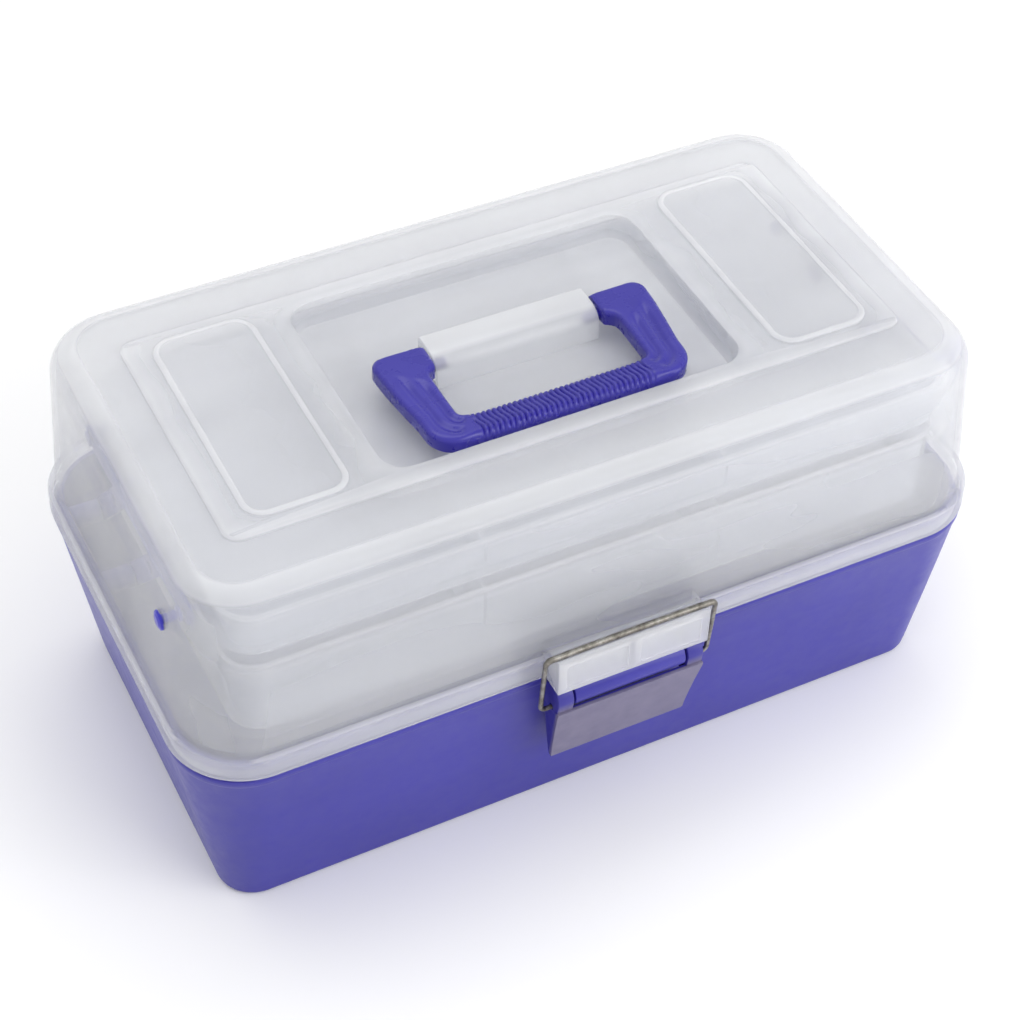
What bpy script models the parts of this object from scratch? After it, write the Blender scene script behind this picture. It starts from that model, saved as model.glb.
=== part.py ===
"""Three-level art supply box.

A violet base tub, a translucent hinged lid with a folding carry handle, two translucent
trays on parallel swinging arms, and a wire-bail latch.  Metres, +Z up, front towards -Y,
origin at the centre of the underside.
"""
import math

import bmesh
import bpy

# ---- driving dimensions (metres) ----
RIM_HALF_X = 0.165          # lid skirt, half of the overall length
RIM_HALF_Y = 0.0911         # lid skirt, half of the body depth
BASE_TOP = 0.0880           # top of the base rim, inside the lid skirt
SKIRT_BOTTOM = 0.0824
SHOULDER_TOP = 0.1628       # top of the lid's shoulder
PLATEAU_TOP = 0.1648
PANEL_TOP = 0.1663
PANEL_X = 0.104             # centre of each raised side panel
CORNER_STEPS = 5            # segments in each rounded vertical corner
GAP = 0.0004                # clearance between neighbouring pieces

HINGE_Y = 0.0985            # rear lid hinge axis
HINGE_Z = 0.0835
HINGE_X = 0.100             # centre of each rear hinge

ARM_ANGLE = math.radians(48.0)    # rise of the arms above the horizontal when shut
ARM_LENGTH = 0.0701               # base pivot to upper tray pivot
FRONT_ARM_Y = -0.0260             # upper tray pivot of the front arm
REAR_ARM_Y = 0.0120               # upper tray pivot of the rear arm
ARM_TOP_Z = 0.1351
ARM_RADIUS = 0.0046
ARM_INNER_X = 0.1448
ARM_THICK = 0.0022

LINK_REAR_Y = 0.0419
LINK_REAR_Z = 0.1365
LID_PIN_Y = -0.0540
LID_PIN_Z = 0.1376
LINK_INNER_X = 0.1487
LINK_THICK = 0.0020

PIN_RADIUS = 0.0018
PIN_HOLE = PIN_RADIUS + GAP

TRAY_HALF_X = 0.1436
TRAY_HALF_Y = 0.0695
TRAY_CENTRE_Y = -0.0086     # the trays stand clear of the lid's rear wall as it swings
TRAY_WALL = 0.0016
LOWER_TRAY = (0.0908, 0.1255)     # underside and rim heights
UPPER_TRAY = (0.1298, 0.1500)

LATCH_Y = -0.0955                 # lever pivot on the base
LATCH_Z = 0.0765
BAIL_DROP = 0.0055                # bail pivot below the lever pivot
BAIL_BAR_Y = -0.0985
BAIL_BAR_Z = 0.1003
BAIL_HALF_X = 0.0345
WIRE_RADIUS = 0.0009
CATCH_HALF_X = 0.0310

HANDLE_Y = -0.0010                # handle pivot axis on the lid
HANDLE_Z = 0.1620
FOOT_BACK = 0.0042                # rear end of the handle feet
FOOT_HALF_X = 0.0556
GRIP_HALF_X = 0.0508
GRIP_FRONT = -0.0462


# ---- helpers ----
def remove_all():
    for obj in list(bpy.data.objects):
        bpy.data.objects.remove(obj, do_unlink=True)


def plastic(name, colour, roughness, metallic=0.0, transmission=0.0):
    material = bpy.data.materials.new(name)
    material.use_nodes = True
    shader = material.node_tree.nodes["Principled BSDF"]
    shader.inputs["Base Color"].default_value = (*colour, 1.0)
    shader.inputs["Roughness"].default_value = roughness
    shader.inputs["Metallic"].default_value = metallic
    shader.inputs["Transmission Weight"].default_value = transmission
    return material


def add_object(name, mesh, material=None, smooth=True):
    obj = bpy.data.objects.new(name, mesh)
    bpy.context.collection.objects.link(obj)
    if material is not None:
        mesh.materials.append(material)
    if smooth:
        mesh.shade_smooth()
        mesh.set_sharp_from_angle(angle=math.radians(35))
    return obj


def rounded_loop(half_x, half_y, radius, z, centre_y=0.0):
    """Points of a rounded rectangle at height z, counter-clockwise."""
    points = []
    for quarter, (sx, sy) in enumerate(((1, 1), (-1, 1), (-1, -1), (1, -1))):
        for step in range(CORNER_STEPS + 1):
            angle = math.radians(90 * (quarter + step / CORNER_STEPS))
            x = sx * (half_x - radius) + radius * math.cos(angle)
            y = sy * (half_y - radius) + radius * math.sin(angle)
            points.append((x, y + centre_y, z))
    return points


def loft(name, loops, material=None):
    """Closed solid through a stack of loops, capped at both ends."""
    bm = bmesh.new()
    rings = [[bm.verts.new(p) for p in loop] for loop in loops]
    for low, high in zip(rings, rings[1:]):
        count = len(low)
        for i in range(count):
            j = (i + 1) % count
            bm.faces.new((low[i], low[j], high[j], high[i]))
    bm.faces.new(list(reversed(rings[0])))
    bm.faces.new(rings[-1])
    bmesh.ops.recalc_face_normals(bm, faces=bm.faces)
    mesh = bpy.data.meshes.new(name)
    bm.to_mesh(mesh)
    bm.free()
    return add_object(name, mesh, material)


def box_stack(name, sections, material=None, centre_y=0.0):
    """Loft through rounded rectangles given as (z, half_x, half_y, radius)."""
    loops = [rounded_loop(hx, hy, r, z, centre_y) for z, hx, hy, r in sections]
    return loft(name, loops, material)


def extrude_x(name, outline, x0, x1, material=None):
    """Solid with a (y, z) outline, running from x0 to x1."""
    return loft(name, [[(x, y, z) for y, z in outline] for x in (x0, x1)], material)


def extrude_z(name, outline, z0, z1, material=None):
    """Solid with an (x, y) outline, running from z0 to z1."""
    return loft(name, [[(x, y, z) for x, y in outline] for z in (z0, z1)], material)


def block(name, low, high, material=None):
    outline = ((low[1], low[2]), (high[1], low[2]), (high[1], high[2]), (low[1], high[2]))
    return extrude_x(name, outline, low[0], high[0], material)


def turned_x(name, y, z, profile, material=None, segments=14):
    """Solid of revolution about a line along X, from (x, radius) stations."""
    loops = []
    for x, radius in profile:
        ring = []
        for i in range(segments):
            angle = 2 * math.pi * i / segments
            ring.append((x, y + radius * math.cos(angle), z + radius * math.sin(angle)))
        loops.append(ring)
    return loft(name, loops, material)


def combine(target, tool, operation):
    """Boolean modifier on target; the tool stays as a hidden guide."""
    tool.hide_render = True
    tool.display_type = "WIRE"
    modifier = target.modifiers.new(tool.name, "BOOLEAN")
    modifier.operation = operation
    modifier.object = tool
    modifier.solver = "EXACT"


def bore_x(target, y, z, radius, x0, x1, segments=14):
    name = f"bore_{target.name}_{len(target.modifiers)}"
    combine(target, turned_x(name, y, z, ((x0, radius), (x1, radius)), None, segments), "DIFFERENCE")


def place_origin(obj, point):
    """Move the object's origin to a point on its joint axis without moving its surface."""
    for vertex in obj.data.vertices:
        vertex.co.x -= point[0]
        vertex.co.y -= point[1]
        vertex.co.z -= point[2]
    obj.location = point


def arc(centre, radius, start, end, steps):
    """Points (a, b) on an arc, angles in degrees."""
    points = []
    for i in range(steps + 1):
        angle = math.radians(start + (end - start) * i / steps)
        points.append((centre[0] + radius * math.cos(angle), centre[1] + radius * math.sin(angle)))
    return points


def arm_point(top_y, share):
    """Point on an arm's centre line, from its base pivot (0) to the upper tray pivot (1)."""
    back = (1 - share) * ARM_LENGTH
    return top_y + back * math.cos(ARM_ANGLE), ARM_TOP_Z - back * math.sin(ARM_ANGLE)


def side_name(side):
    return "left" if side < 0 else "right"


# ---- base ----
def make_base(violet):
    base = box_stack("base_tub", (
        (0.0000, 0.1480, 0.0739, 0.016),
        (0.0012, 0.1506, 0.0765, 0.018),
        (0.0045, 0.1526, 0.0785, 0.020),
        (0.0780, 0.1634, 0.0894, 0.027),
        (0.0789, 0.1640, 0.0900, 0.028),
        (0.0817, 0.1642, 0.0902, 0.028),
        (0.0818, 0.1612, 0.0873, 0.026),
        (BASE_TOP, 0.1612, 0.0873, 0.026),
        (BASE_TOP, 0.1590, 0.0851, 0.024),
        (0.0500, 0.1570, 0.0831, 0.022),
        (0.0050, 0.1502, 0.0763, 0.018),
        (0.0026, 0.1478, 0.0739, 0.016),
    ), violet)
    for side in (-1, 1):
        for top_y in (FRONT_ARM_Y, REAR_ARM_Y):
            y, z = arm_point(top_y, 0.0)
            name = f"boss_{side_name(side)}_{top_y}"
            ends = sorted((side * (ARM_INNER_X + ARM_THICK + GAP), side * 0.1602))
            boss = turned_x(name, y, z, ((ends[0], 0.0044), (ends[1], 0.0044)), None, 16)
            combine(base, boss, "UNION")
            bore_x(base, y, z, PIN_HOLE, side * (ARM_INNER_X + ARM_THICK), side * 0.1560)
        for offset in (-0.0102, 0.0102):
            centre = side * HINGE_X + offset
            outline = [(0.0860, 0.0770), (0.0960, 0.0790)]
            outline += arc((HINGE_Y, HINGE_Z), 0.0040, -60, 170, 8)
            outline += [(0.0945, 0.0815), (0.0860, 0.0815)]
            ear = extrude_x(f"hinge_ear_{centre:.4f}", outline, centre - 0.0038, centre + 0.0038)
            combine(base, ear, "UNION")
            bore_x(base, HINGE_Y, HINGE_Z, 0.0015 + GAP, centre - 0.006, centre + 0.006)
    nose = [(-0.0868, 0.0700), (-0.0868, 0.0805)]
    nose += arc((LATCH_Y, LATCH_Z), 0.0040, 90, 250, 8)
    combine(base, extrude_x("latch_boss", nose, -0.0228, 0.0228), "UNION")
    bore_x(base, LATCH_Y, LATCH_Z, 0.0013 + GAP, -0.0240, 0.0240)
    return base


# ---- lid ----
def make_lid_cavity():
    """Space inside the lid, with the block that carries the handle recess left out."""
    cavity = box_stack("lid_cavity", (
        (0.0700, 0.1628, 0.0889, 0.028),
        (0.0903, 0.1628, 0.0889, 0.028),
        (0.0913, 0.1596, 0.0857, 0.026),
        (0.1500, 0.1555, 0.0816, 0.0238),
        (0.1545, 0.1547, 0.0808, 0.0230),
        (0.1580, 0.1524, 0.0785, 0.0207),
        (0.1600, 0.1488, 0.0749, 0.0170),
        (0.1606, 0.1455, 0.0716, 0.0140),
    ))
    recess = box_stack("recess_block", (
        (0.1518, 0.0732, 0.0496, 0.010),
        (0.1700, 0.0732, 0.0496, 0.010),
    ))
    combine(cavity, recess, "DIFFERENCE")
    return cavity


def make_catch(lid):
    """Moulded catch that the wire bail hooks over, hollow underneath."""
    outline = (
        (-0.0868, 0.0945), (-0.0868, 0.0978), (-0.0905, 0.0990), (-0.0996, 0.0990),
        (-0.0996, 0.1000), (-0.1000, 0.1004), (-0.1009, 0.1004), (-0.1015, 0.0998),
        (-0.1015, 0.0836), (-0.0905, 0.0836), (-0.0905, 0.0905),
    )
    combine(lid, extrude_x("catch", outline, -CATCH_HALF_X, CATCH_HALF_X), "UNION")
    for side in (-1, 1):
        ends = sorted((side * 0.0009, side * (CATCH_HALF_X - 0.0018)))
        pocket = block(f"catch_pocket_{side_name(side)}", (ends[0], -0.0998, 0.0820), (ends[1], -0.0920, 0.0970))
        combine(lid, pocket, "DIFFERENCE")
        window = block(
            f"catch_window_{side_name(side)}", (ends[0] + 0.0008, -0.1030, 0.0856), (ends[1] - 0.0008, -0.1011, 0.0970)
        )
        combine(lid, window, "DIFFERENCE")


def make_lid(clear):
    lid = box_stack("lid_shell", (
        (SKIRT_BOTTOM, 0.1642, 0.0903, 0.030),
        (0.0836, RIM_HALF_X, RIM_HALF_Y, 0.030),
        (0.0915, 0.1648, 0.0909, 0.030),
        (0.0929, 0.1641, 0.0902, 0.030),
        (0.0935, 0.1630, 0.0891, 0.029),
        (0.0937, 0.1618, 0.0879, 0.028),
        (0.1506, 0.1577, 0.0838, 0.026),
        (0.1553, 0.1568, 0.0829, 0.0251),
        (0.1592, 0.1542, 0.0803, 0.0225),
        (0.1619, 0.1500, 0.0761, 0.0183),
        (SHOULDER_TOP, 0.1455, 0.0716, 0.0140),
    ), clear)
    plateau = box_stack("plateau", ((0.1618, 0.1335, 0.0555, 0.005), (PLATEAU_TOP, 0.1325, 0.0545, 0.004)))
    combine(lid, plateau, "UNION")
    for side in (-1, 1):
        outline = []
        for px, py, start in ((0.124, 0.050, 0), (0.084, 0.050, 90), (0.084, -0.050, 180), (0.124, -0.050, 270)):
            cx = px - math.copysign(0.010, px - PANEL_X)
            cy = py - math.copysign(0.010, py)
            outline += arc((cx, cy), 0.010, start, start + 90, 4)
        outline = [(side * x, y) for x, y in outline]
        inner = [(side * PANEL_X + (x - side * PANEL_X) * 0.97, y * 0.99) for x, y in outline]
        loops = [[(x, y, 0.1640) for x, y in outline], [(x, y, PANEL_TOP) for x, y in inner]]
        combine(lid, loft(f"panel_{side_name(side)}", loops), "UNION")
    combine(lid, make_lid_cavity(), "DIFFERENCE")
    recess = box_stack("recess_cut", ((0.1540, 0.0696, 0.0466, 0.008), (0.1700, 0.0710, 0.0474, 0.009)))
    combine(lid, recess, "DIFFERENCE")
    boss = [(-0.0062, 0.1530)] + arc((HANDLE_Y - 0.0002, HANDLE_Z), 0.0050, 180, 0, 8) + [(0.0042, 0.1530)]
    combine(lid, extrude_x("handle_boss", boss, -0.0336, 0.0336), "UNION")
    for side in (-1, 1):
        bore_x(lid, HANDLE_Y, HANDLE_Z, 0.0022 + GAP, side * 0.0270, side * 0.0350)
        bore_x(lid, LID_PIN_Y, LID_PIN_Z, PIN_HOLE, side * 0.1500, side * 0.1620)
        centre = side * HINGE_X
        knuckle = [(0.0898, 0.0836), (0.0938, 0.0836)]
        knuckle += arc((HINGE_Y, HINGE_Z), 0.0036, 200, 430, 9)
        knuckle += [(0.0898, 0.0900)]
        combine(lid, extrude_x(f"knuckle_{side_name(side)}", knuckle, centre - 0.0060, centre + 0.0060), "UNION")
        bore_x(lid, HINGE_Y, HINGE_Z, 0.0015 + GAP, centre - 0.008, centre + 0.008)
    make_catch(lid)
    return lid


# ---- trays ----
def make_tray(name, heights, divider_top, material):
    low, high = heights
    wall = TRAY_WALL
    tray = box_stack(name, (
        (low, TRAY_HALF_X - 0.0020, TRAY_HALF_Y - 0.0022, 0.0110),
        (low + 0.0012, TRAY_HALF_X - 0.0006, TRAY_HALF_Y - 0.0010, 0.0125),
        (high, TRAY_HALF_X, TRAY_HALF_Y, 0.0130),
        (high, TRAY_HALF_X - wall, TRAY_HALF_Y - wall, 0.0115),
        (low + 0.0028, TRAY_HALF_X - wall - 0.0006, TRAY_HALF_Y - wall - 0.0010, 0.0110),
        (low + 0.0016, TRAY_HALF_X - wall - 0.0016, TRAY_HALF_Y - wall - 0.0020, 0.0100),
    ), material, TRAY_CENTRE_Y)
    front = TRAY_CENTRE_Y - TRAY_HALF_Y + 0.0010
    back = TRAY_CENTRE_Y + TRAY_HALF_Y - 0.0010
    for x in (-0.048, 0.048):
        divider = block(f"{name}_divider_{x}", (x - 0.0006, front, low + 0.0010), (x + 0.0006, back, divider_top))
        combine(tray, divider, "UNION")
    return tray


# ---- arms, links and pins ----
def capsule(start, end, radius, steps=6):
    """Outline of a flat bar with round ends between two (y, z) points."""
    angle = math.degrees(math.atan2(end[1] - start[1], end[0] - start[0]))
    return arc(end, radius, angle - 90, angle + 90, steps) + arc(start, radius, angle + 90, angle + 270, steps)


def make_arm(name, side, top_y, violet):
    ends = sorted((side * ARM_INNER_X, side * (ARM_INNER_X + ARM_THICK)))
    bottom = arm_point(top_y, 0.0)
    arm = extrude_x(name, capsule(bottom, arm_point(top_y, 1.0), ARM_RADIUS), ends[0], ends[1], violet)
    place_origin(arm, (0.0, bottom[0], bottom[1]))
    for share in (0.0, 0.5, 1.0):
        y, z = arm_point(top_y, share)
        bore_x(arm, y, z, PIN_HOLE, ends[0] - 0.001, ends[1] + 0.001)
    return arm


def make_link(name, side, violet):
    ends = sorted((side * LINK_INNER_X, side * (LINK_INNER_X + LINK_THICK)))
    rear = (LINK_REAR_Y, LINK_REAR_Z)
    link = extrude_x(name, capsule(rear, (LID_PIN_Y, LID_PIN_Z), 0.0048), ends[0], ends[1], violet)
    place_origin(link, (0.0, *rear))
    for y, z in (rear, (LID_PIN_Y, LID_PIN_Z)):
        bore_x(link, y, z, PIN_HOLE, ends[0] - 0.001, ends[1] + 0.001)
    return link


def make_pin(name, side, y, z, stations, violet):
    """Turned pin along X; stations run outward from the box centre."""
    profile = [(side * x, radius) for x, radius in stations]
    return turned_x(name, y, z, profile, violet)


def make_side_pins(side, violet):
    tray_inside = TRAY_HALF_X - TRAY_WALL - 0.0012
    outer_arm = ARM_INNER_X + ARM_THICK + GAP
    arm_stations = (
        (tray_inside - 0.0010, 0.0030), (tray_inside, 0.0030), (tray_inside, PIN_RADIUS),
        (outer_arm, PIN_RADIUS), (outer_arm, 0.0030), (outer_arm + 0.0008, 0.0028),
    )
    base_stations = (
        (ARM_INNER_X - 0.0008, 0.0020), (ARM_INNER_X - 0.0004, 0.0030), (ARM_INNER_X - 0.0004, PIN_RADIUS),
        (0.1555, PIN_RADIUS),
    )
    link_out = LINK_INNER_X + LINK_THICK + GAP
    link_stations = (
        (tray_inside - 0.0010, 0.0030), (tray_inside, 0.0030), (tray_inside, PIN_RADIUS),
        (TRAY_HALF_X + GAP, PIN_RADIUS), (TRAY_HALF_X + GAP, 0.0036), (LINK_INNER_X - GAP, 0.0036),
        (LINK_INNER_X - GAP, PIN_RADIUS), (link_out, PIN_RADIUS), (link_out, 0.0030), (link_out + 0.0008, 0.0027),
    )
    lid_stations = (
        (0.1520, 0.0028), (0.1531, 0.0028), (0.1531, PIN_RADIUS), (0.1592, PIN_RADIUS),
        (0.1592, 0.0038), (0.1600, 0.0036), (0.1606, 0.0022),
    )
    suffix = side_name(side)
    for place, top_y in (("front", FRONT_ARM_Y), ("rear", REAR_ARM_Y)):
        make_pin(f"base_pin_{place}_{suffix}", side, *arm_point(top_y, 0.0), base_stations, violet)
        make_pin(f"lower_tray_pin_{place}_{suffix}", side, *arm_point(top_y, 0.5), arm_stations, violet)
        make_pin(f"upper_tray_pin_{place}_{suffix}", side, *arm_point(top_y, 1.0), arm_stations, violet)
    make_pin(f"link_pin_{suffix}", side, LINK_REAR_Y, LINK_REAR_Z, link_stations, violet)
    make_pin(f"lid_pin_{suffix}", side, LID_PIN_Y, LID_PIN_Z, lid_stations, violet)


def bore_tray(tray, pivots):
    for side in (-1, 1):
        for y, z in pivots:
            bore_x(tray, y, z, PIN_HOLE, side * (TRAY_HALF_X - 0.006), side * (TRAY_HALF_X + 0.003))


# ---- latch ----
def make_latch(violet, steel):
    plate_back = 0.0022
    plate = (
        (-0.1010, 0.0716), (-0.0932, 0.0396), (-0.0922, 0.0389), (-0.0908, 0.0391),
        (-0.0915, 0.0408), (-0.1010 + plate_back, 0.0716),
    )
    lever = extrude_x("latch_lever", plate, -0.0290, 0.0290, violet)
    cheek = arc((LATCH_Y, LATCH_Z), 0.0058, 180, 0, 10)
    cheek += [(-0.0897, 0.0730), (-0.0888, 0.0680), (-0.0905, 0.0387), (-0.0925, 0.0385), (-0.0935, 0.0393)]
    cheek += [(-0.1013, 0.0716)]
    for side in (-1, 1):
        ends = sorted((side * 0.0236, side * 0.0305))
        combine(lever, extrude_x(f"cheek_{side_name(side)}", cheek, ends[0], ends[1]), "UNION")
        bore_x(lever, LATCH_Y, LATCH_Z, 0.0013 + GAP, side * 0.0230, side * 0.0290)
        bore_x(lever, LATCH_Y, LATCH_Z - BAIL_DROP, WIRE_RADIUS + GAP, side * 0.0262, side * 0.0320)
    place_origin(lever, (0.0, LATCH_Y, LATCH_Z))
    turned_x("latch_pin", LATCH_Y, LATCH_Z, ((-0.0286, 0.0013), (0.0286, 0.0013)), steel)
    make_bail(steel)
    return lever


def make_bail(steel):
    """Bent wire: hooked ends, two legs and a top bar, swept as a curve."""
    low = LATCH_Z - BAIL_DROP
    bend = 0.0030
    right = [(0.0268, low)]
    right += arc((BAIL_HALF_X - bend, low + bend), bend, 270, 360, 4)
    right += arc((BAIL_HALF_X - bend, BAIL_BAR_Z - bend), bend, 0, 90, 4)
    path = right + [(-x, z) for x, z in reversed(right)]
    curve = bpy.data.curves.new("latch_bail", "CURVE")
    curve.dimensions = "3D"
    curve.bevel_depth = WIRE_RADIUS
    curve.bevel_resolution = 2
    curve.use_fill_caps = True
    spline = curve.splines.new("POLY")
    spline.points.add(len(path) - 1)
    lean = (BAIL_BAR_Y - LATCH_Y) / (BAIL_BAR_Z - low)
    for point, (x, z) in zip(spline.points, path):
        point.co = (x, lean * (z - low), z - low, 1.0)
    curve.materials.append(steel)
    bail = bpy.data.objects.new("latch_bail", curve)
    bpy.context.collection.objects.link(bail)
    bail.location = (0.0, LATCH_Y, low)
    return bail


# ---- carry handle ----
def make_handle(violet):
    """Flat U handle lying in the lid recess, with inward pegs on its pivot axis."""
    right = [(FOOT_HALF_X - 0.0050, FOOT_BACK)]
    right += arc((FOOT_HALF_X - 0.0050, FOOT_BACK - 0.0050), 0.0050, 90, 0, 3)[1:]
    right += list(reversed(arc((GRIP_HALF_X - 0.0080, GRIP_FRONT + 0.0080), 0.0080, -90, 0, 4)))
    opening = list(reversed(arc((0.0357, -0.0332 + 0.0025), 0.0025, -90, 0, 2)))
    opening = [(0.0342, FOOT_BACK), (0.0342, -0.0062), (0.0382, -0.0085)] + opening
    outline = list(reversed(right)) + opening
    outline += [(-x, y) for x, y in reversed(outline)]
    handle = extrude_z("carry_handle", outline, HANDLE_Z - 0.0048, HANDLE_Z + 0.0048, violet)
    for side in (-1, 1):
        name = f"peg_{side_name(side)}"
        peg = turned_x(name, HANDLE_Y, HANDLE_Z, ((side * 0.0282, 0.0022), (side * 0.0362, 0.0022)))
        combine(handle, peg, "UNION")
    place_origin(handle, (0.0, HANDLE_Y, HANDLE_Z))
    return handle


def main():
    remove_all()
    violet = plastic("violet_plastic", (0.075, 0.065, 0.40), 0.38)
    clear = plastic("clear_plastic", (0.86, 0.87, 0.90), 0.35, 0.0, 0.6)
    steel = plastic("steel", (0.45, 0.44, 0.42), 0.35, 1.0)
    make_base(violet)
    make_lid(clear)
    lower = make_tray("lower_tray", LOWER_TRAY, 0.1230, clear)
    upper = make_tray("upper_tray", UPPER_TRAY, 0.1465, clear)
    bore_tray(lower, [arm_point(y, 0.5) for y in (FRONT_ARM_Y, REAR_ARM_Y)])
    pivots = [arm_point(y, 1.0) for y in (FRONT_ARM_Y, REAR_ARM_Y)]
    bore_tray(upper, pivots + [(LINK_REAR_Y, LINK_REAR_Z)])
    for side in (-1, 1):
        make_arm(f"arm_front_{side_name(side)}", side, FRONT_ARM_Y, violet)
        make_arm(f"arm_rear_{side_name(side)}", side, REAR_ARM_Y, violet)
        make_link(f"lid_link_{side_name(side)}", side, violet)
        make_side_pins(side, violet)
        centre = side * HINGE_X
        stations = ((centre - 0.0145, 0.0015), (centre + 0.0145, 0.0015))
        turned_x(f"hinge_pin_{side_name(side)}", HINGE_Y, HINGE_Z, stations, steel)
    make_latch(violet, steel)
    make_handle(violet)


main()
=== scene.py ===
import math

import bmesh
import bpy
from mathutils import Matrix, Vector


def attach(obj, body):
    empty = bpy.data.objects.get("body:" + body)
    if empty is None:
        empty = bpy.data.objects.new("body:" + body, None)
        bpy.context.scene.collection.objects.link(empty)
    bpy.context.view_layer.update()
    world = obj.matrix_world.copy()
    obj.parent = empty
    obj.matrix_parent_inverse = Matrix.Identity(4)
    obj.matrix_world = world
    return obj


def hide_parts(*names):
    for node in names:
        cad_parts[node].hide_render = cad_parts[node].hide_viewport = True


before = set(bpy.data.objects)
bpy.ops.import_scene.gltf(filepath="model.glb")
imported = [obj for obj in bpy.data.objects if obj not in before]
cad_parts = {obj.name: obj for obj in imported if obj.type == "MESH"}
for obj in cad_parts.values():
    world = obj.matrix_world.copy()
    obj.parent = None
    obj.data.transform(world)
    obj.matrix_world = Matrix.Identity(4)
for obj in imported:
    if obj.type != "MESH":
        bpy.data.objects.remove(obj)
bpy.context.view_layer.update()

# ---- dimensions shared with the CAD frame (metres; axes run along X and are given as y, z) ----
HINGE_X = 0.100
HINGE_AXIS = (0.0985, 0.0835)
LATCH_AXIS = (-0.0955, 0.0765)
BAIL_AXIS = (-0.0955, 0.0710)
HANDLE_AXIS = (-0.0010, 0.1620)
LID_PIN = (-0.0540, 0.1376)
LINK_REAR = (0.0419, 0.1365)
ARM_RISE = math.radians(48.0)
ARM_LENGTH = 0.0701
ARM_TOP_Z = 0.1351
FRONT_ARM_Y, REAR_ARM_Y = -0.0260, 0.0120
PIN_BORE, HINGE_BORE, LATCH_BORE, WIRE_BORE, PEG_BORE = 0.0022, 0.0019, 0.0017, 0.0013, 0.0026

# ---- mesh fineness ----
CORNER_STEPS = 14
SHARP_ANGLE = math.radians(38)
RIB_SHARP_ANGLE = math.radians(50)


# ---- mesh helpers ----
def arc(centre, radius, start, end, steps):
    """Points on an arc from start to end, in degrees, in any plane of two coordinates."""
    points = []
    for i in range(steps + 1):
        angle = math.radians(start + (end - start) * i / steps)
        points.append((centre[0] + radius * math.cos(angle), centre[1] + radius * math.sin(angle)))
    return points


def rounded_loop(half_x, half_y, radius, z, centre=(0.0, 0.0)):
    """Rectangle with round corners, level at z."""
    points = []
    for quarter, (sx, sy) in enumerate(((1, 1), (-1, 1), (-1, -1), (1, -1))):
        for step in range(CORNER_STEPS + 1):
            angle = math.radians(90 * (quarter + step / CORNER_STEPS))
            x = sx * (half_x - radius) + radius * math.cos(angle)
            y = sy * (half_y - radius) + radius * math.sin(angle)
            points.append((x + centre[0], y + centre[1], z))
    return points


def finish_mesh(name, bm):
    bmesh.ops.recalc_face_normals(bm, faces=bm.faces)
    mesh = bpy.data.meshes.new(name)
    bm.to_mesh(mesh)
    bm.free()
    obj = bpy.data.objects.new(name, mesh)
    bpy.context.scene.collection.objects.link(obj)
    return obj


def loft(name, loops):
    """Closed solid through a stack of loops, capped at both ends."""
    bm = bmesh.new()
    rings = [[bm.verts.new(p) for p in loop] for loop in loops]
    for low, high in zip(rings, rings[1:]):
        count = len(low)
        for i in range(count):
            j = (i + 1) % count
            bm.faces.new((low[i], low[j], high[j], high[i]))
    bm.faces.new(list(reversed(rings[0])))
    bm.faces.new(rings[-1])
    return finish_mesh(name, bm)


def box_stack(name, sections, centre=(0.0, 0.0)):
    """Solid through round-cornered rectangles, each given as (z, half x, half y, radius)."""
    return loft(name, [rounded_loop(hx, hy, r, z, centre) for z, hx, hy, r in sections])


def extrude_x(name, outline, x0, x1, edge=0.0):
    """Solid with a (y, z) outline along X; edge softens both end faces a little."""
    mid = (sum(p[0] for p in outline) / len(outline), sum(p[1] for p in outline) / len(outline))
    loops = []
    stations = [(x0, 0.0), (x1, 0.0)]
    if edge:
        stations = [(x0, edge), (x0 + edge * 0.3, edge * 0.3), (x0 + edge, 0.0)]
        stations += [(x1 - edge, 0.0), (x1 - edge * 0.3, edge * 0.3), (x1, edge)]
    for x, inset in stations:
        ring = []
        for y, z in outline:
            dy, dz = y - mid[0], z - mid[1]
            reach = max(math.hypot(dy, dz), 1e-6)
            keep = 1 - inset / reach
            ring.append((x, mid[0] + dy * keep, mid[1] + dz * keep))
        loops.append(ring)
    return loft(name, loops)


def turned_x(name, axis, profile, segments=28):
    """Round solid about an axis along X, with a profile of (x, radius)."""
    loops = []
    for x, radius in profile:
        ring = []
        for i in range(segments):
            angle = 2 * math.pi * i / segments
            ring.append((x, axis[0] + radius * math.cos(angle), axis[1] + radius * math.sin(angle)))
        loops.append(ring)
    return loft(name, loops)


def bore(name, axis, radius, x0, x1):
    return turned_x(name, axis, ((x0, radius), (x1, radius)))


def combine(target, tools, operation):
    """Applies one exact Boolean per tool, and deletes the tools."""
    for tool in tools:
        modifier = target.modifiers.new(tool.name, "BOOLEAN")
        modifier.operation = operation
        modifier.object = tool
        modifier.solver = "EXACT"
    bpy.context.view_layer.update()
    evaluated = target.evaluated_get(bpy.context.evaluated_depsgraph_get())
    mesh = bpy.data.meshes.new_from_object(evaluated)
    target.modifiers.clear()
    target.data = mesh
    for tool in tools:
        bpy.data.objects.remove(tool)
    return target


def smooth(obj, angle=SHARP_ANGLE):
    obj.data.shade_smooth()
    obj.data.set_sharp_from_angle(angle=angle)
    return obj


def arm_point(top_y, share):
    """Place on an arm, from its base pivot (share 0) to its upper tray pivot (share 1)."""
    back = (1 - share) * ARM_LENGTH
    return top_y + back * math.cos(ARM_RISE), ARM_TOP_Z - back * math.sin(ARM_RISE)


# ---- materials ----
def new_material(name):
    material = bpy.data.materials.new(name)
    material.use_nodes = True
    tree = material.node_tree
    shader = tree.nodes["Principled BSDF"]
    coords = tree.nodes.new("ShaderNodeTexCoord")
    return material, tree, shader, coords.outputs["Object"]


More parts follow.
